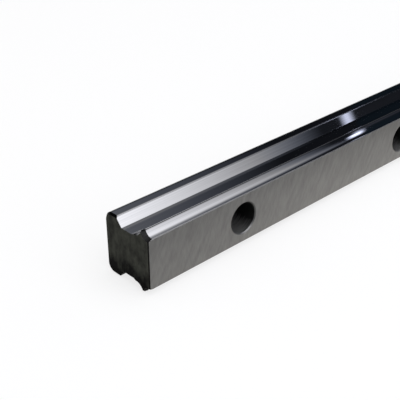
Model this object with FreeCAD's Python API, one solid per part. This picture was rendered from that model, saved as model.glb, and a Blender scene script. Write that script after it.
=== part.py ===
import FreeCAD, Part
import math
import os

# Profile linear guide rail: one bar of hardened, ground steel.
# Millimetres. X runs along the rail, Y from the hole face (-Y) to the mounting base (+Y),
# and Z across the width. The rail lies on its side, as pictured, and the origin is the
# middle of the footprint on which it rests.

# Length and mounting holes
RAIL_LENGTH = 240.0
HOLE_PITCH = 60.0
FIRST_HOLE_DISTANCE = 27.5
LEAST_LAST_DISTANCE = 10.0
HOLE_COUNT = 1 + int((RAIL_LENGTH - FIRST_HOLE_DISTANCE - LEAST_LAST_DISTANCE) / HOLE_PITCH)
COUNTERBORE_DIAMETER = 7.5
COUNTERBORE_DEPTH = 5.3
SCREW_HOLE_DIAMETER = 4.5
COUNTERBORE_CHAMFER = 0.25
SCREW_HOLE_CHAMFER = 0.3

# Section: widths across Z, and depths from the hole face towards the mounting base
RAIL_WIDTH = 15.0
RAIL_HEIGHT = 14.0
NECK_WIDTH = 10.8
NECK_START_DEPTH = 5.2
FLARE_START_DEPTH = 8.4
FLARE_ANGLE = 50.0
FLARE_EDGE_RADIUS = 0.6
BASE_CORNER_RADIUS = 2.2
FACE_EDGE_BREAK = 0.15

# Chamfers where the rail was cut to length
END_CHAMFER = 0.45
HOLE_FACE_END_CHAMFER = 0.2

# Ball raceways: four grooves of one radius, on ball centres just outside the rail's sides.
# The nose is the narrow land between the two raceways of a side.
RACEWAY_RADIUS = 1.85
BALL_CENTRE_OVERHANG = 0.4
UPPER_BALL_DEPTH = 0.3
NOSE_LAND = 0.5
LOWER_RACEWAY_END_ANGLE = -22.0
LEAD_IN_DEPTH = 0.35
LEAD_IN_LENGTH = 1.2

HALF_WIDTH = RAIL_WIDTH / 2.0
BALL_HALF_SPACING = HALF_WIDTH + BALL_CENTRE_OVERHANG
NOSE_ANGLE = math.acos(BALL_CENTRE_OVERHANG / RACEWAY_RADIUS)
LOWER_BALL_DEPTH = UPPER_BALL_DEPTH + 2.0 * RACEWAY_RADIUS * math.sin(NOSE_ANGLE) + NOSE_LAND

# The round of a base corner as three points, each a depth and a half width
BASE_CORNER_INSET = BASE_CORNER_RADIUS * (1.0 - math.cos(math.radians(45.0)))
BASE_CORNER_START = (RAIL_HEIGHT - BASE_CORNER_RADIUS, HALF_WIDTH)
BASE_CORNER_MIDDLE = (RAIL_HEIGHT - BASE_CORNER_INSET, HALF_WIDTH - BASE_CORNER_INSET)
BASE_CORNER_END = (RAIL_HEIGHT, HALF_WIDTH - BASE_CORNER_RADIUS)


def section_point(depth, across):
    """A point of the section at the near end, from its depth and its distance from the middle."""
    return FreeCAD.Vector(-RAIL_LENGTH / 2.0, depth - RAIL_HEIGHT / 2.0, across + HALF_WIDTH)


def raceway_point(ball_depth, angle):
    """Depth and half width on a raceway, at an angle turned from straight inwards towards the base."""
    depth = ball_depth + RACEWAY_RADIUS * math.sin(angle)
    return depth, BALL_HALF_SPACING - RACEWAY_RADIUS * math.cos(angle)


def side_edges(side):
    """The edges of one side of the section, +1 or -1, from the hole face to the mounting base."""

    def line(start, end):
        first = section_point(start[0], side * start[1])
        return Part.LineSegment(first, section_point(end[0], side * end[1])).toShape()

    def arc(start, middle, end):
        points = [section_point(depth, side * half) for depth, half in (start, middle, end)]
        return Part.Arc(*points).toShape()

    def raceway(ball_depth, first_angle, last_angle):
        angles = (first_angle, (first_angle + last_angle) / 2.0, last_angle)
        return arc(*[raceway_point(ball_depth, angle) for angle in angles])

    face_angle = math.asin((FACE_EDGE_BREAK - UPPER_BALL_DEPTH) / RACEWAY_RADIUS)
    relief_angle = math.radians(LOWER_RACEWAY_END_ANGLE)
    face_break = raceway_point(UPPER_BALL_DEPTH, face_angle)
    face_corner = (0.0, face_break[1] - FACE_EDGE_BREAK)
    nose_start = raceway_point(UPPER_BALL_DEPTH, NOSE_ANGLE)
    nose_end = raceway_point(LOWER_BALL_DEPTH, -NOSE_ANGLE)
    relief_start = raceway_point(LOWER_BALL_DEPTH, relief_angle)

    half_neck = NECK_WIDTH / 2.0
    neck_start = (NECK_START_DEPTH, half_neck)
    flare_start = (FLARE_START_DEPTH, half_neck)
    flare_turn = math.radians(FLARE_ANGLE)
    flare_corner_depth = FLARE_START_DEPTH + (HALF_WIDTH - half_neck) / math.tan(flare_turn)
    land_start = (flare_corner_depth + FLARE_EDGE_RADIUS * math.tan(flare_turn / 2.0), HALF_WIDTH)

    def flare_edge_point(turn):
        half = HALF_WIDTH - FLARE_EDGE_RADIUS * (1.0 - math.cos(turn))
        return land_start[0] - FLARE_EDGE_RADIUS * math.sin(turn), half

    return [
        line((0.0, 0.0), face_corner),
        line(face_corner, face_break),
        raceway(UPPER_BALL_DEPTH, face_angle, NOSE_ANGLE),
        line(nose_start, nose_end),
        raceway(LOWER_BALL_DEPTH, -NOSE_ANGLE, relief_angle),
        line(relief_start, neck_start),
        line(neck_start, flare_start),
        line(flare_start, flare_edge_point(flare_turn)),
        arc(flare_edge_point(flare_turn), flare_edge_point(flare_turn / 2.0), land_start),
        line(land_start, BASE_CORNER_START),
        arc(BASE_CORNER_START, BASE_CORNER_MIDDLE, BASE_CORNER_END),
        line(BASE_CORNER_END, (RAIL_HEIGHT, 0.0)),
    ]


def extrude_section(edges):
    """A closed section at the near end, run along the whole rail."""
    outline = Part.Wire(Part.__sortEdges__(edges))
    return Part.Face(outline).extrude(FreeCAD.Vector(RAIL_LENGTH, 0.0, 0.0)).removeSplitter()


def make_end_form():
    """The rail's outer form without its grooves, with the edges chamfered where it was cut to length.

    It stands proud of the hole face, so that the chamfer takes less off that face than off the rest.
    """
    proud_depth = HOLE_FACE_END_CHAMFER - END_CHAMFER

    def line(start, end):
        return Part.LineSegment(section_point(*start), section_point(*end)).toShape()

    edges = [line((proud_depth, -HALF_WIDTH), (proud_depth, HALF_WIDTH))]
    for side in (-1, 1):
        corner = [(depth, side * half) for depth, half in (BASE_CORNER_START, BASE_CORNER_MIDDLE, BASE_CORNER_END)]
        edges.append(line((proud_depth, side * HALF_WIDTH), corner[0]))
        edges.append(Part.Arc(*[section_point(*point) for point in corner]).toShape())
        edges.append(line(corner[-1], (RAIL_HEIGHT, 0.0)))
    form = extrude_section(edges)
    end_edges = [
        edge for edge in form.Edges if abs(edge.CenterOfMass.x) > RAIL_LENGTH / 2.0 - END_CHAMFER / 2.0
    ]
    return form.makeChamfer(END_CHAMFER, end_edges)


def make_lead_in(end, side, ball_depth):
    """The cone that opens one raceway at one end of the rail, so that balls run on without a step."""
    centre = section_point(ball_depth, side * BALL_HALF_SPACING)
    centre.x = end * RAIL_LENGTH / 2.0
    into_rail = FreeCAD.Vector(-end, 0.0, 0.0)
    mouth_radius = RACEWAY_RADIUS + LEAD_IN_DEPTH
    return Part.makeCone(mouth_radius, RACEWAY_RADIUS, LEAD_IN_LENGTH, centre, into_rail)


def make_hole_tool(x):
    """The counterbored screw hole at x: screw hole, head recess and a small chamfer at each mouth."""
    into_rail = FreeCAD.Vector(0.0, 1.0, 0.0)
    face = FreeCAD.Vector(x, -RAIL_HEIGHT / 2.0, HALF_WIDTH)
    base = FreeCAD.Vector(x, RAIL_HEIGHT / 2.0 - SCREW_HOLE_CHAMFER, HALF_WIDTH)
    screw_radius = SCREW_HOLE_DIAMETER / 2.0
    head_radius = COUNTERBORE_DIAMETER / 2.0
    mouth_radius = head_radius + COUNTERBORE_CHAMFER
    foot_radius = screw_radius + SCREW_HOLE_CHAMFER
    screw_hole = Part.makeCylinder(screw_radius, RAIL_HEIGHT, face, into_rail)
    counterbore = Part.makeCylinder(head_radius, COUNTERBORE_DEPTH, face, into_rail)
    mouth = Part.makeCone(mouth_radius, head_radius, COUNTERBORE_CHAMFER, face, into_rail)
    foot = Part.makeCone(screw_radius, foot_radius, SCREW_HOLE_CHAMFER, base, into_rail)
    return screw_hole.fuse([counterbore, mouth, foot])


def make_guide_rail():
    """The finished rail: the bar with broken ends and its row of mounting holes along the middle."""
    rail = extrude_section(side_edges(1) + side_edges(-1)).common(make_end_form())
    for end in (-1, 1):
        for side in (-1, 1):
            for ball_depth in (UPPER_BALL_DEPTH, LOWER_BALL_DEPTH):
                rail = rail.cut(make_lead_in(end, side, ball_depth))
    for index in range(HOLE_COUNT):
        x = -RAIL_LENGTH / 2.0 + FIRST_HOLE_DISTANCE + index * HOLE_PITCH
        rail = rail.cut(make_hole_tool(x))
    return rail


os.makedirs("parts", exist_ok=True)
guide_rail = make_guide_rail()
guide_rail.exportStep("parts/guide_rail.step")
print("solids", len(guide_rail.Solids), "valid", guide_rail.isValid())
print("volume mm3", round(guide_rail.Volume, 1), "box", guide_rail.BoundBox)
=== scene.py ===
import math

import bmesh
import bpy
from mathutils import Matrix, Vector


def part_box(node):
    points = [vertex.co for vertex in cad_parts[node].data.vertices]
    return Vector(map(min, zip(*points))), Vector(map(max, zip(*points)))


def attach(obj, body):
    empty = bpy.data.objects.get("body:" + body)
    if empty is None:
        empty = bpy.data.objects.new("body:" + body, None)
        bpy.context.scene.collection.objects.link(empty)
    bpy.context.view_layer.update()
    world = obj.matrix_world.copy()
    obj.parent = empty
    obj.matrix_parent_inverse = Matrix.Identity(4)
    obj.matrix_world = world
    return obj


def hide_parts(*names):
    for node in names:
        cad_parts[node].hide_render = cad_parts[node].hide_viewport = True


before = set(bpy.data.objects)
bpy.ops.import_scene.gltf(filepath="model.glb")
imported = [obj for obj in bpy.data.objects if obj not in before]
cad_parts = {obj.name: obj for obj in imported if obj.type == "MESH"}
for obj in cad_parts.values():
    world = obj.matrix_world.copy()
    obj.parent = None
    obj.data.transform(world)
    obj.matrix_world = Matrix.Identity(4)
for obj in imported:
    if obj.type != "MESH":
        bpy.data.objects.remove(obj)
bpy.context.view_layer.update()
rail_low, rail_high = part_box("guide_rail")

# The rail's section in millimetres: depths from the hole face, widths from the middle
MM = 0.001
RAIL_LENGTH = (rail_high.x - rail_low.x) / MM
RAIL_HEIGHT = (rail_high.y - rail_low.y) / MM
HALF_WIDTH = (rail_high.z - rail_low.z) / MM / 2.0
HALF_NECK = 5.4
NECK_START_DEPTH = 5.2
FLARE_START_DEPTH = 8.4
FLARE_ANGLE = math.radians(50.0)
FLARE_EDGE_RADIUS = 0.6
BASE_CORNER_RADIUS = 2.2
FACE_EDGE_BREAK = 0.15
NECK_FILLET = 0.08
EDGE_ROUND = 0.06
NOSE_REAR_ROUND = 0.01

# Ball raceways
RACEWAY_RADIUS = 1.85
BALL_CENTRE_OVERHANG = 0.4
UPPER_BALL_DEPTH = 0.3
NOSE_LAND = 0.5
LOWER_RACEWAY_END_ANGLE = math.radians(-22.0)
BALL_HALF_SPACING = HALF_WIDTH + BALL_CENTRE_OVERHANG
NOSE_ANGLE = math.acos(BALL_CENTRE_OVERHANG / RACEWAY_RADIUS)
LOWER_BALL_DEPTH = UPPER_BALL_DEPTH + 2.0 * RACEWAY_RADIUS * math.sin(NOSE_ANGLE) + NOSE_LAND

# Ends and mounting holes
END_CHAMFER = 0.45
HOLE_FACE_END_CHAMFER = 0.2
LEAD_IN_DEPTH = 0.35
LEAD_IN_LENGTH = 1.2
HOLE_PITCH = 60.0
FIRST_HOLE_DISTANCE = 27.5
HEAD_RADIUS = 3.75
HEAD_DEPTH = 5.3
SCREW_RADIUS = 2.25
MOUTH_CHAMFER = 0.25
FOOT_CHAMFER = 0.3

# Fineness of round stretches, the share of a stretch that a corner's round may take, and turns that
# need no round or that shade as a sharp edge
ARC_STEP = math.radians(4.0)
HOLE_SEGMENTS = 96
ROUND_STEPS = 4
ROUND_SHARE = 0.45
SMOOTH_TURN = math.radians(12.0)
SHARP_ANGLE = math.radians(30.0)

# How strongly large faces set the shading of the small ones beside them, in percent
LARGE_FACE_WEIGHT = 100

# How far a cutting tool reaches out of what it cuts, and the width of slivers that a cut may leave
TOOL_REACH = 0.5
SLIVER_WIDTH = 0.001

ZONES = [
    "ground_face",
    "raceway",
    "side",
    "flare",
    "soft_edge",
    "base_face",
    "cut_end",
    "end_chamfer",
    "lead_in",
    "bore",
    "broken_edge",
]


# Section outline


def arc(centre, radius, first, last):
    """Points on an arc of the section, at angles turned from straight inwards towards the base."""
    count = max(2, round(abs(last - first) / ARC_STEP))
    angles = [first + (last - first) * i / count for i in range(count + 1)]
    return [(centre[0] + radius * math.sin(a), centre[1] - radius * math.cos(a)) for a in angles]


def side_runs():
    """The zones of one side of the section and their points, from the hole face to the base."""
    face_angle = math.asin((FACE_EDGE_BREAK - UPPER_BALL_DEPTH) / RACEWAY_RADIUS)
    upper_centre = (UPPER_BALL_DEPTH, BALL_HALF_SPACING)
    lower_centre = (LOWER_BALL_DEPTH, BALL_HALF_SPACING)
    upper = arc(upper_centre, RACEWAY_RADIUS, face_angle, NOSE_ANGLE)
    lower = arc(lower_centre, RACEWAY_RADIUS, -NOSE_ANGLE, LOWER_RACEWAY_END_ANGLE)
    face_corner = (0.0, upper[0][1] - FACE_EDGE_BREAK)
    neck_start = (NECK_START_DEPTH, HALF_NECK)
    flare_start = (FLARE_START_DEPTH, HALF_NECK)
    flare_corner_depth = FLARE_START_DEPTH + (HALF_WIDTH - HALF_NECK) / math.tan(FLARE_ANGLE)
    land_start_depth = flare_corner_depth + FLARE_EDGE_RADIUS * math.tan(FLARE_ANGLE / 2.0)
    flare_edge_centre = (land_start_depth, HALF_WIDTH - FLARE_EDGE_RADIUS)
    flare_edge = arc(flare_edge_centre, FLARE_EDGE_RADIUS, FLARE_ANGLE - math.pi, -math.pi)
    corner_centre = (RAIL_HEIGHT - BASE_CORNER_RADIUS, HALF_WIDTH - BASE_CORNER_RADIUS)
    corner = arc(corner_centre, BASE_CORNER_RADIUS, math.pi, math.pi / 2.0)
    return [
        ("ground_face", [(0.0, 0.0), face_corner]),
        ("broken_edge", [face_corner, upper[0]]),
        ("raceway", upper),
        ("side", [upper[-1], lower[0]]),
        ("raceway", lower),
        ("side", [lower[-1], neck_start]),
        ("side", [neck_start, flare_start]),
        ("flare", [flare_start, flare_edge[0]]),
        ("soft_edge", flare_edge),
        ("side", [flare_edge[-1], corner[0]]),
        ("side", corner),
        ("base_face", [corner[-1], (RAIL_HEIGHT, 0.0)]),
    ]


def round_corner(before, corner, after, radius):
    """The points of a small round that takes the place of a corner, or the corner where it is smooth."""
    corner = Vector(corner)
    back = Vector(before) - corner
    ahead = Vector(after) - corner
    turn = math.pi - back.angle(ahead)
    if turn < SMOOTH_TURN:
        return [tuple(corner)]
    reach = min(radius * math.tan(turn / 2.0), ROUND_SHARE * back.length, ROUND_SHARE * ahead.length)
    start = corner + back.normalized() * reach
    end = corner + ahead.normalized() * reach
    steps = [i / ROUND_STEPS for i in range(ROUND_STEPS + 1)]
    return [tuple(start.lerp(corner, t).lerp(corner.lerp(end, t), t)) for t in steps]


def section_outline():
    """The closed section as (depth, across, zone of the stretch that starts there)."""
    side = []
    runs = side_runs()
    lower_raceway = [points for zone, points in runs if zone == "raceway"][-1]
    for index, (zone, points) in enumerate(runs):
        if index == 0:
            side.append((*points[0], zone))
        side += [(*point, zone) for point in points[1:-1]]
        if index + 1 < len(runs):
            following_zone, following = runs[index + 1]
            if following is lower_raceway:
                radius = NOSE_REAR_ROUND
            elif points[-1][1] == HALF_NECK:
                radius = NECK_FILLET
            else:
                radius = EDGE_ROUND
            rounded = round_corner(points[-2], points[-1], following[1], radius)
            side += [(*point, zone) for point in rounded[:-1]]
            side.append((*rounded[-1], following_zone))
        else:
            side.append((*points[-1], zone))
    mirrored = [(depth, -across, side[i - 1][2]) for i, (depth, across, _) in enumerate(side)][::-1]
    return side[:-1] + mirrored[:-1]


# Solids from lofted outlines, in millimetres


def turn_faces_outwards(mesh):
    """Turns every face of a closed mesh to look outwards."""
    form = bmesh.new()
    form.from_mesh(mesh)
    bmesh.ops.recalc_face_normals(form, faces=form.faces)
    form.to_mesh(mesh)
    form.free()


def add_solid(name, rings, wall_zones, cap_zone):
    """A closed solid through rings with equally many points, and a zone for each wall and the caps."""
    count = len(rings[0])
    points = [point for ring in rings for point in ring]
    faces = []
    zones = []
    for ring in range(len(rings) - 1):
        for i in range(count):
            here = ring * count + i
            following = ring * count + (i + 1) % count
            faces.append((here, following, following + count, here + count))
            zones.append(wall_zones(ring, i))
    faces.append(tuple(reversed(range(count))))
    faces.append(tuple(range((len(rings) - 1) * count, len(rings) * count)))
    zones += [cap_zone, cap_zone]
    mesh = bpy.data.meshes.new(name)
    mesh.from_pydata(points, [], faces)
    for zone in ZONES:
        mesh.materials.append(materials[zone])
    for polygon, zone in zip(mesh.polygons, zones):
        polygon.material_index = ZONES.index(zone)
    turn_faces_outwards(mesh)
    solid = bpy.data.objects.new(name, mesh)
    bpy.context.scene.collection.objects.link(solid)
    return solid


def place(x, depth, across):
    """A point of the rail in its own frame, still in millimetres."""
    return (x, depth - RAIL_HEIGHT / 2.0, across + HALF_WIDTH)


def make_bar():
    """The section run along the rail, a little longer than it is."""
    outline = section_outline()
    reach = RAIL_LENGTH / 2.0 + TOOL_REACH
    rings = [[place(x, depth, across) for depth, across, _ in outline] for x in (reach, -reach)]
    return add_solid("rail_steel", rings, lambda ring, i: outline[i][2], "cut_end")


def form_outline(growth):
    """The outer form without its grooves, larger by growth all round."""
    proud_depth = HOLE_FACE_END_CHAMFER - END_CHAMFER - growth
    centre = (RAIL_HEIGHT - BASE_CORNER_RADIUS, HALF_WIDTH - BASE_CORNER_RADIUS)
    corner = arc(centre, BASE_CORNER_RADIUS + growth, math.pi, math.pi / 2.0)
    side = [(proud_depth, HALF_WIDTH + growth)] + corner
    return side + [(depth, -across) for depth, across in reversed(side)]


def make_end_form():
    """The form that trims the bar to length and chamfers the edges of both ends."""
    slope = END_CHAMFER + TOOL_REACH
    stations = [
        (RAIL_LENGTH / 2.0, -END_CHAMFER),
        (RAIL_LENGTH / 2.0 - slope, TOOL_REACH),
        (slope - RAIL_LENGTH / 2.0, TOOL_REACH),
        (-RAIL_LENGTH / 2.0, -END_CHAMFER),
    ]
    rings = [[place(x, *point) for point in form_outline(growth)] for x, growth in stations]
    return add_solid("end_form", rings, lambda ring, i: "end_chamfer", "cut_end")


def make_lead_in(end, side, ball_depth):
    """The cone that opens one raceway at one end."""
    slope = LEAD_IN_DEPTH / LEAD_IN_LENGTH
    rings = []
    for inwards in (-TOOL_REACH, LEAD_IN_LENGTH + TOOL_REACH):
        x = end * (RAIL_LENGTH / 2.0 - inwards)
        radius = RACEWAY_RADIUS + LEAD_IN_DEPTH - slope * inwards
        circle = arc((ball_depth, side * BALL_HALF_SPACING), radius, 0.0, end * math.tau)
        rings.append([place(x, *point) for point in circle[:-1]])
    return add_solid("lead_in", rings, lambda ring, i: "lead_in", "lead_in")


def make_hole_tool(x):
    """One counterbored screw hole with its chamfered mouths."""
    profile = [
        (-TOOL_REACH, HEAD_RADIUS + MOUTH_CHAMFER + TOOL_REACH, "broken_edge"),
        (MOUTH_CHAMFER, HEAD_RADIUS, "bore"),
        (HEAD_DEPTH, HEAD_RADIUS, "bore"),
        (HEAD_DEPTH, SCREW_RADIUS, "bore"),
        (RAIL_HEIGHT - FOOT_CHAMFER, SCREW_RADIUS, "broken_edge"),
        (RAIL_HEIGHT + TOOL_REACH, SCREW_RADIUS + FOOT_CHAMFER + TOOL_REACH, "bore"),
    ]
    rings = []
    for depth, radius, _ in profile:
        angles = [math.tau * i / HOLE_SEGMENTS for i in range(HOLE_SEGMENTS)]
        ring = [place(x + radius * math.cos(a), depth, radius * math.sin(a)) for a in angles]
        rings.append(ring)
    return add_solid("hole_tool", rings, lambda ring, i: profile[ring][2], "bore")


def remove_slivers(mesh):
    """Joins points that are closer than SLIVER_WIDTH, and removes the faces that this leaves empty."""
    form = bmesh.new()
    form.from_mesh(mesh)
    bmesh.ops.remove_doubles(form, verts=form.verts, dist=SLIVER_WIDTH)
    bmesh.ops.dissolve_degenerate(form, edges=form.edges, dist=SLIVER_WIDTH)
    form.to_mesh(mesh)
    form.free()


def combine(target, tool, operation):
    """Applies one boolean to the target and removes the tool."""
    modifier = target.modifiers.new("combine", "BOOLEAN")
    modifier.operation = operation
    modifier.solver = "EXACT"
    modifier.object = tool
    depsgraph = bpy.context.evaluated_depsgraph_get()
    mesh = bpy.data.meshes.new_from_object(target.evaluated_get(depsgraph))
    target.modifiers.clear()
    remove_slivers(mesh)
    target.data = mesh
    bpy.data.objects.remove(tool)


def make_rail():
    """The finished rail: trimmed bar, raceway lead-ins and the row of holes, in metres."""
    rail = make_bar()
    combine(rail, make_end_form(), "INTERSECT")
    for end in (-1, 1):
        for side in (-1, 1):
            for ball_depth in (UPPER_BALL_DEPTH, LOWER_BALL_DEPTH):
                combine(rail, make_lead_in(end, side, ball_depth), "DIFFERENCE")
    x = FIRST_HOLE_DISTANCE - RAIL_LENGTH / 2.0
    while x < RAIL_LENGTH / 2.0:
        combine(rail, make_hole_tool(x), "DIFFERENCE")
        x += HOLE_PITCH
    rail.data.transform(Matrix.Scale(MM, 4))
    rail.data.polygons.foreach_set("use_smooth", [True] * len(rail.data.polygons))
    rail.data.set_sharp_from_angle(angle=SHARP_ANGLE)
    weighted = rail.modifiers.new("flat_faces_stay_flat", "WEIGHTED_NORMAL")
    weighted.keep_sharp = True
    weighted.weight = LARGE_FACE_WEIGHT
    return rail


# Materials


# The range that a noise texture's values usually keep to, and how much its finer octaves weigh
NOISE_LOW = 0.3
NOISE_HIGH = 0.7
NOISE_ROUGHNESS = 0.6

# A Mix node has sockets for each kind of value. These are the ones for colours.
MIX_FACTOR = 0
MIX_COLOURS = (6, 7)
MIX_RESULT = 2


class Nodes:
    """A material's node tree, with short calls for the nodes that the steel and the studio need."""

    def __init__(self, name):
        self.material = bpy.data.materials.new(name)
        self.material.use_nodes = True
        self.tree = self.material.node_tree
        self.shader = self.tree.nodes["Principled BSDF"]
        self.output = self.tree.nodes["Material Output"]

    def add(self, kind, **inputs):
        """A node, with its inputs set by name to values or linked to outputs."""
        node = self.tree.nodes.new(kind)
        self.fill(node, inputs)
        return node

    def feed(self, socket, value):
        """Sets a socket to a value, or links it to an output."""
        if isinstance(value, bpy.types.NodeSocket):
            self.tree.links.new(value, socket)
        else:
            socket.default_value = value

    def fill(self, node, inputs):
        """Feeds a node's inputs, given by name with underscores for spaces."""
        for name, value in inputs.items():
            self.feed(node.inputs[name.replace("_", " ")], value)

    def finish(self, **inputs):
        """Feeds the shader's own inputs."""
        self.fill(self.shader, inputs)

    def position(self):
        """The X, Y and Z outputs of the object's own coordinates."""
        coordinates = self.add("ShaderNodeTexCoord").outputs["Object"]
        return self.add("ShaderNodeSeparateXYZ", Vector=coordinates).outputs

    def calculate(self, operation, *values):
        """The result of one calculation on numbers or outputs."""
        node = self.tree.nodes.new("ShaderNodeMath")
        node.operation = operation
        for socket, value in zip(node.inputs, values):
            self.feed(socket, value)
        return node.outputs[0]

    def streaks(self, per_mm, turn=0.0, detail=4.0):
        """Noise turned about Y, with its own number of features per millimetre along each axis."""
        coordinates = self.add("ShaderNodeTexCoord").outputs["Object"]
        turned = self.add("ShaderNodeMapping", Vector=coordinates, Rotation=(0.0, turn, 0.0))
        scale = [n / MM for n in per_mm]
        scaled = self.add("ShaderNodeMapping", Vector=turned.outputs["Vector"], Scale=scale)
        noise = self.add(
            "ShaderNodeTexNoise",
            Vector=scaled.outputs["Vector"],
            Scale=1.0,
            Detail=detail,
            Roughness=NOISE_ROUGHNESS,
        )
        return noise.outputs["Fac"]

    def remap(self, value, low, high, source_low=NOISE_LOW, source_high=NOISE_HIGH):
        """A value moved from its source range, by default the noise's, to low and high, and kept between."""
        node = self.add(
            "ShaderNodeMapRange",
            Value=value,
            From_Min=source_low,
            From_Max=source_high,
            To_Min=low,
            To_Max=high,
        )
        return node.outputs["Result"]

    def shades(self, value, dark, light, source_low=NOISE_LOW, source_high=NOISE_HIGH):
        """A colour between two, given as colours or outputs, as a value runs over its source range."""
        node = self.tree.nodes.new("ShaderNodeMix")
        node.data_type = "RGBA"
        self.feed(node.inputs[MIX_FACTOR], self.remap(value, 0.0, 1.0, source_low, source_high))
        for index, colour in zip(MIX_COLOURS, (dark, light)):
            is_output = isinstance(colour, bpy.types.NodeSocket)
            self.feed(node.inputs[index], colour if is_output else (*colour, 1.0))
        return node.outputs[MIX_RESULT]

    def relief(self, value, height):
        """A bump of so many millimetres from a noise value."""
        node = self.add("ShaderNodeBump", Height=value, Strength=1.0, Distance=height * MM)
        return node.outputs["Normal"]


# The hole face's two layers of grinding marks: the broad layer's share, and how far each one slants
BROAD_SHARE = 0.65
BROAD_SLANT = math.radians(-26.0)
FINE_SLANT = math.radians(8.0)

# Two heights on the cut end in millimetres, and what is added to its colour at each: painted shade that
# darkens it near the floor
CUT_END_HEIGHTS = (1.5, 6.0)
CUT_END_PAINTED_SHADE = (-0.3, 0.08)

# How far a bore's wall looks up, where 1 is straight up, and what is added to its colour at each: painted
# shade on walls that don't look up, painted light on those that do
BORE_UPWARDS = (0.4, 1.0)
BORE_PAINTED_LIGHT_AND_SHADE = (-0.35, 0.25)


def ground_face_material():
    """Satin hole face, ground across its width at a slant, with a finer hatch across that."""
    nodes = Nodes("ground_face")
    broad = nodes.streaks((0.9, 0.0, 0.15), turn=BROAD_SLANT)
    fine = nodes.streaks((2.6, 0.0, 0.3), turn=FINE_SLANT)
    broad_part = nodes.calculate("MULTIPLY", broad, BROAD_SHARE)
    fine_part = nodes.calculate("MULTIPLY", fine, 1.0 - BROAD_SHARE)
    hatch = nodes.calculate("ADD", broad_part, fine_part)
    nodes.finish(
        Base_Color=nodes.shades(hatch, (0.275, 0.273, 0.268), (0.45, 0.447, 0.438)),
        Metallic=1.0,
        Roughness=nodes.remap(hatch, 0.34, 0.46),
        Normal=nodes.relief(hatch, 0.004),
    )
    return nodes.material


def polished_material(name, dark, light, roughness):
    """Steel with fine lines along the rail, a near mirror or satin as its roughness says."""
    nodes = Nodes(name)
    lines = nodes.streaks((0.02, 5.0, 5.0))
    nodes.finish(
        Base_Color=nodes.shades(lines, dark, light),
        Metallic=1.0,
        Roughness=roughness,
    )
    return nodes.material


def cut_end_material():
    """Dark charcoal end face, with painted shade that darkens it towards the floor."""
    nodes = Nodes("cut_end")
    mottle = nodes.streaks((0.0, 0.5, 0.3), detail=5.0)
    low, high = [height * MM for height in CUT_END_HEIGHTS]
    # Painted shade: the end's colour darkens towards the floor by height
    painted_shading = nodes.remap(nodes.position()["Z"], *CUT_END_PAINTED_SHADE, low, high)
    shade = nodes.calculate("ADD", mottle, painted_shading)
    nodes.finish(
        Base_Color=nodes.shades(shade, (0.003, 0.003, 0.003), (0.067, 0.069, 0.057)),
        Metallic=0.0,
        Specular_IOR_Level=0.05,
        Roughness=nodes.remap(mottle, 0.4, 0.55),
        Normal=nodes.relief(nodes.streaks((0.0, 3.0, 0.5)), 0.006),
    )
    return nodes.material


def bore_material():
    """Dark drilled walls with fine turned rings, with painted light where they look up and painted shade on
    the rest.
    """
    nodes = Nodes("bore")
    rings = nodes.streaks((0.3, 4.0, 0.3))
    normal = nodes.add("ShaderNodeTexCoord").outputs["Normal"]
    upwards = nodes.add("ShaderNodeSeparateXYZ", Vector=normal).outputs["Z"]
    # Painted light on walls that look up, painted shade on the rest
    painted_shading = nodes.remap(upwards, *BORE_PAINTED_LIGHT_AND_SHADE, *BORE_UPWARDS)
    shade = nodes.calculate("ADD", rings, painted_shading)
    nodes.finish(
        Base_Color=nodes.shades(shade, (0.022, 0.022, 0.022), (0.19, 0.19, 0.188)),
        Metallic=0.7,
        Roughness=nodes.remap(rings, 0.45, 0.6),
        Normal=nodes.relief(rings, 0.004),
    )
    return nodes.material


# The zones with lines along the rail: darkest colour, lightest colour, roughness
POLISHED_ZONES = {
    "raceway": ((0.39, 0.39, 0.4), (0.46, 0.46, 0.47), 0.025),
    # side: a darker, slightly bluish steel colour, painted shade standing in for the dark surroundings that
    # the flanks mirror
    "side": ((0.24, 0.243, 0.252), (0.295, 0.299, 0.31), 0.05),
    "flare": ((0.46, 0.46, 0.47), (0.54, 0.54, 0.55), 0.025),
    # soft_edge: dimmer than the flare beside it, painted shade that keeps a highlight off the flare's
    # rounded edge
    "soft_edge": ((0.23, 0.23, 0.235), (0.28, 0.28, 0.285), 0.12),
    "base_face": ((0.36, 0.36, 0.35), (0.44, 0.44, 0.43), 0.3),
    # end_chamfer: near-black steel, painted shade on the chamfers round the ends
    "end_chamfer": ((0.01, 0.01, 0.01), (0.02, 0.02, 0.02), 0.35),
    # lead_in: near-black steel, painted shade on the raceway lead-in cones
    "lead_in": ((0.01, 0.01, 0.01), (0.02, 0.02, 0.02), 0.2),
    "broken_edge": ((0.17, 0.17, 0.17), (0.22, 0.22, 0.22), 0.4),
}


def make_materials():
    """One material for each zone."""
    made = {zone: polished_material(zone, *look) for zone, look in POLISHED_ZONES.items()}
    made["ground_face"] = ground_face_material()
    made["cut_end"] = cut_end_material()
    made["bore"] = bore_material()
    return made


# Studio, in metres: a white floor and surround, an arched softbox over the rail with two small lamps and a
# faint panel beyond them, and a dark arch and a card on the floor for the dark tones in the metal. Angles
# across an arch are in degrees, turned from straight up towards -Y.

WHITE = (1.0, 1.0, 1.0, 1.0)
FILL_LEVEL = 0.7

FLOOR_HALF_SIZE = (15.0, 15.0)
FLOOR_WHITE = (0.98, 0.98, 0.98)
FLOOR_BOUNCE = (0.3, 0.3, 0.3)
FLOOR_GLOW_SHARE = 0.75
FLOOR_ROUGHNESS = 0.9
FLOOR_SPECULAR = 0.1

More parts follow.
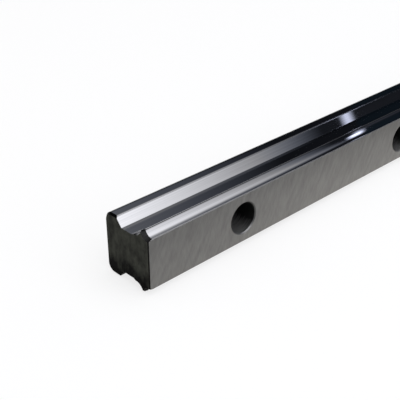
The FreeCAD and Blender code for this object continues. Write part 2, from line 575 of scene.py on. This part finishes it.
# The card is dark well before the rail and turns pale towards it over CARD_PALE_Y, and along it over
# CARD_PALE_X. Where it is dark it runs between two greys over CARD_GREY_X.
CARD_HALF_SIZE = (2.5, 1.6)
CARD_HEIGHT = 0.0002
CARD_PALE = (0.7, 0.68, 0.64)
CARD_PALE_Y = (-0.036, -0.009)
CARD_PALE_X = (-0.24, -0.04)
CARD_GREYS = (0.2, 0.06)
CARD_GREY_X = (-0.06, 0.02)

DARK_COLOUR = (0.36, 0.58, 0.85)
DARK_LEVEL = 0.032
DARK_RADIUS = 1.6
DARK_RANGE = (-2.5, 4.0)

LEAN_LIMIT = math.radians(46.0)
FADE_POWER = 1.25
FAINTEST_GLOW = 0.02
FAINT_COLOUR = (0.72, 0.81, 1.04)
FAINT_BELOW = 0.5

LAMP_COLOUR = (0.74, 0.79, 1.0)
LIGHT_ARCHES = [
    {
        "name": "softbox",
        "radius": 1.3,
        "x_range": (-0.6, 1.414),
        "x_fade": (0.3, 0.7),
        "leans": (0.154, 0.304),
        "profile": [
            (-80.0, 0.13), (-50.0, 0.25), (-28.0, 0.38), (-5.0, 0.8), (12.0, 1.0), (70.0, 0.95), (88.0, 0.5),
        ],
        "colour": (0.96, 0.965, 1.0),
        "strength": 2.05,
    },
    {
        "name": "upper_lamp",
        "radius": 1.29,
        "x_range": (1.327, 1.405),
        "x_fade": (0.025, 0.025),
        "leans": (0.0, 0.0),
        "profile": [(-5.0, 0.0), (20.0, 1.0), (36.0, 1.0), (43.0, 0.37)],
        "colour": LAMP_COLOUR,
        "strength": 3.7,
    },
    {
        "name": "lower_lamp",
        "radius": 1.28,
        "x_range": (1.34, 1.4),
        "x_fade": (0.025, 0.025),
        "leans": (0.0, 0.0),
        "profile": [(43.0, 1.0), (50.0, 1.0), (62.0, 0.4), (85.0, 0.0)],
        "colour": LAMP_COLOUR,
        "strength": 1.5,
    },
    {
        "name": "far_glow",
        "radius": 1.31,
        "x_range": (1.38, 1.9),
        "x_fade": (0.05, 0.4),
        "leans": (0.0, 0.0),
        "profile": [(45.0, 0.0), (62.0, 1.0), (80.0, 1.0), (89.0, 0.0)],
        "colour": (0.9, 0.78, 1.0),
        "strength": 0.05,
    },
]


def emission_material(name, colour, strength):
    """A glowing material's nodes, and the node that glows."""
    nodes = Nodes(name)
    nodes.tree.nodes.remove(nodes.shader)
    glow = nodes.add("ShaderNodeEmission", Color=(*colour, 1.0), Strength=strength)
    nodes.feed(nodes.output.inputs["Surface"], glow.outputs["Emission"])
    return nodes, glow


def stage_mesh(name, points, faces, material):
    """A staged object from points and faces."""
    mesh = bpy.data.meshes.new(name)
    mesh.from_pydata(points, [], faces)
    mesh.materials.append(material)
    staged = bpy.data.objects.new(name, mesh)
    bpy.context.scene.collection.objects.link(staged)
    return staged


def make_arch(name, radius, x_range, angle_range, material):
    """A panel bent round the X axis, which the camera doesn't see."""
    columns, rows = 24, 24
    points = []
    for i in range(columns + 1):
        x = x_range[0] + (x_range[1] - x_range[0]) * i / columns
        for j in range(rows + 1):
            angle = math.radians(angle_range[0] + (angle_range[1] - angle_range[0]) * j / rows)
            points.append((x, -radius * math.sin(angle), radius * math.cos(angle)))
    faces = []
    for i in range(columns):
        for j in range(rows):
            here = i * (rows + 1) + j
            faces.append((here, here + rows + 1, here + rows + 2, here + 1))
    panel = stage_mesh(name, points, faces, material)
    panel.visible_camera = False
    return panel


def make_light_arch(name, radius, x_range, x_fade, leans, profile, colour, strength):
    """A glowing arch over the rail.

    Its light falls off towards both ends of x_range, over the lengths in x_fade. Away from straight up
    both ends lean towards -X: leans says how far for each radian in front, as far as LEAN_LIMIT, and
    behind. Across the arch the light follows profile, which lists angles and their levels. Faint light
    takes FAINT_COLOUR.
    """
    nodes, glow = emission_material(name, colour, strength)
    position = nodes.position()
    forwards = nodes.calculate("MULTIPLY", position["Y"], -1.0)
    angle = nodes.calculate("ARCTAN2", forwards, position["Z"])
    front = nodes.remap(angle, 0.0, LEAN_LIMIT * leans[0], 0.0, LEAN_LIMIT)
    rear = nodes.remap(angle, 0.0, math.pi * leans[1], 0.0, -math.pi)
    along = nodes.calculate("ADD", position["X"], nodes.calculate("ADD", front, rear))
    start = nodes.remap(along, 0.0, 1.0, x_range[0], x_range[0] + x_fade[0])
    end = nodes.remap(along, 0.0, 1.0, x_range[1], x_range[1] - x_fade[1])
    end = nodes.calculate("POWER", end, FADE_POWER)
    first, last = profile[0][0], profile[-1][0]
    across = nodes.remap(angle, 0.0, 1.0, math.radians(first), math.radians(last))
    ramp = nodes.add("ShaderNodeValToRGB", Fac=across)
    stops = ramp.color_ramp.elements
    while len(stops) < len(profile):
        stops.new(1.0)
    for stop, (degrees, level) in zip(stops, profile):
        stop.position = (degrees - first) / (last - first)
        stop.color = (level, level, level, 1.0)
    level = nodes.calculate("MULTIPLY", nodes.calculate("MULTIPLY", start, end), ramp.outputs["Color"])
    level = nodes.calculate("MULTIPLY", level, strength)
    nodes.feed(glow.inputs["Color"], nodes.shades(level, FAINT_COLOUR, colour, 0.0, FAINT_BELOW))
    nodes.feed(glow.inputs["Strength"], nodes.calculate("ADD", level, FAINTEST_GLOW))
    make_arch(name, radius, x_range, (first, last), nodes.material)


def make_dark_arch():
    """The dark arch behind the lights, which only the metal mirrors."""
    dark, _ = emission_material("dark_card", DARK_COLOUR, DARK_LEVEL)
    shell = make_arch("dark_arch", DARK_RADIUS, DARK_RANGE, (-90.0, 90.0), dark.material)
    shell.visible_diffuse = False
    shell.visible_shadow = False


def seen_directly(tree):
    """1 for rays from the camera and those that metal or glass sends on, and 0 for the rest."""
    path = tree.nodes.new("ShaderNodeLightPath")
    seen = path.outputs["Is Camera Ray"]
    for ray in ("Is Glossy Ray", "Is Transmission Ray"):
        node = tree.nodes.new("ShaderNodeMath")
        node.operation = "MAXIMUM"
        tree.links.new(seen, node.inputs[0])
        tree.links.new(path.outputs[ray], node.inputs[1])
        seen = node.outputs[0]
    return seen


def make_ground(name, half_size, height, material):
    """A level rectangle of ground."""
    x, y = half_size
    corners = [(-x, -y, height), (x, -y, height), (x, y, height), (-x, y, height)]
    return stage_mesh(name, corners, [(0, 1, 2, 3)], material)


def make_floor():
    """A wide floor: white to the eye and in the metal, and grey where it only passes light on."""
    nodes = Nodes("floor")
    seen = seen_directly(nodes.tree)
    paint = nodes.shades(seen, FLOOR_BOUNCE, FLOOR_WHITE, 0.0, 1.0)
    nodes.finish(Base_Color=paint, Roughness=FLOOR_ROUGHNESS, Specular_IOR_Level=FLOOR_SPECULAR)
    white = nodes.add("ShaderNodeEmission", Color=WHITE, Strength=1.0)
    glow_share = nodes.calculate("MULTIPLY", seen, FLOOR_GLOW_SHARE)
    mix = nodes.add("ShaderNodeMixShader", Fac=glow_share)
    nodes.feed(mix.inputs[1], nodes.shader.outputs["BSDF"])
    nodes.feed(mix.inputs[2], white.outputs["Emission"])
    nodes.feed(nodes.output.inputs["Surface"], mix.outputs["Shader"])
    make_ground("floor", FLOOR_HALF_SIZE, 0.0, nodes.material)


def make_floor_card():
    """A card round the rail that only the metal mirrors: dark before the rail, pale beside it and behind."""
    nodes = Nodes("floor_card")
    position = nodes.position()
    across = nodes.remap(position["Y"], 0.0, 1.0, *CARD_PALE_Y)
    along = nodes.remap(position["X"], 0.0, 1.0, *CARD_PALE_X)
    paleness = nodes.calculate("MULTIPLY", across, along)
    grey = nodes.remap(position["X"], *CARD_GREYS, *CARD_GREY_X)
    paint = nodes.shades(paleness, grey, CARD_PALE, 0.0, 1.0)
    nodes.finish(Base_Color=paint, Roughness=FLOOR_ROUGHNESS, Specular_IOR_Level=FLOOR_SPECULAR)
    card = make_ground("floor_card", CARD_HALF_SIZE, CARD_HEIGHT, nodes.material)
    card.visible_camera = False
    card.visible_diffuse = False
    card.visible_transmission = False
    card.visible_shadow = False


def make_world():
    """A white surround for what the eye and the metal see, and an even fill light for the rest."""
    world = bpy.data.worlds.new("surround")
    bpy.context.scene.world = world
    world.use_nodes = True
    tree = world.node_tree
    background = tree.nodes["Background"]
    background.inputs["Color"].default_value = WHITE
    level = tree.nodes.new("ShaderNodeMapRange")
    tree.links.new(seen_directly(tree), level.inputs["Value"])
    level.inputs["To Min"].default_value = FILL_LEVEL
    level.inputs["To Max"].default_value = 1.0
    tree.links.new(level.outputs["Result"], background.inputs["Strength"])


def make_studio():
    """The whole stage."""
    make_floor()
    make_floor_card()
    make_world()
    make_dark_arch()
    for light in LIGHT_ARCHES:
        make_light_arch(**light)


# Camera at the photograph's viewing angle: millimetres for the lens, metres and degrees for the rest

FOCAL_LENGTH = 74.7
SENSOR_WIDTH = 36.0
CLIP_RANGE = (0.005, 50.0)
CAMERA_PLACE = (-0.2077, -0.1152, 0.1019)
CAMERA_HEADING = 43.29
CAMERA_PITCH = 29.62
CAMERA_ROLL = -0.29


def make_camera():
    """The scene's camera, which heads from +Y towards +X and looks down by its pitch."""
    data = bpy.data.cameras.new("camera")
    data.lens = FOCAL_LENGTH
    data.sensor_width = SENSOR_WIDTH
    data.clip_start, data.clip_end = CLIP_RANGE
    camera = bpy.data.objects.new("camera", data)
    bpy.context.scene.collection.objects.link(camera)
    turn = Matrix.Rotation(-math.radians(CAMERA_HEADING), 4, "Z")
    tilt = Matrix.Rotation(math.pi / 2.0 - math.radians(CAMERA_PITCH), 4, "X")
    roll = Matrix.Rotation(math.radians(CAMERA_ROLL), 4, "Z")
    camera.matrix_world = Matrix.Translation(CAMERA_PLACE) @ turn @ tilt @ roll
    bpy.context.scene.camera = camera


materials = make_materials()
rail = make_rail()
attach(rail, "root")
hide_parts("guide_rail")
make_studio()
make_camera()
bpy.context.scene.view_settings.view_transform = "Standard"
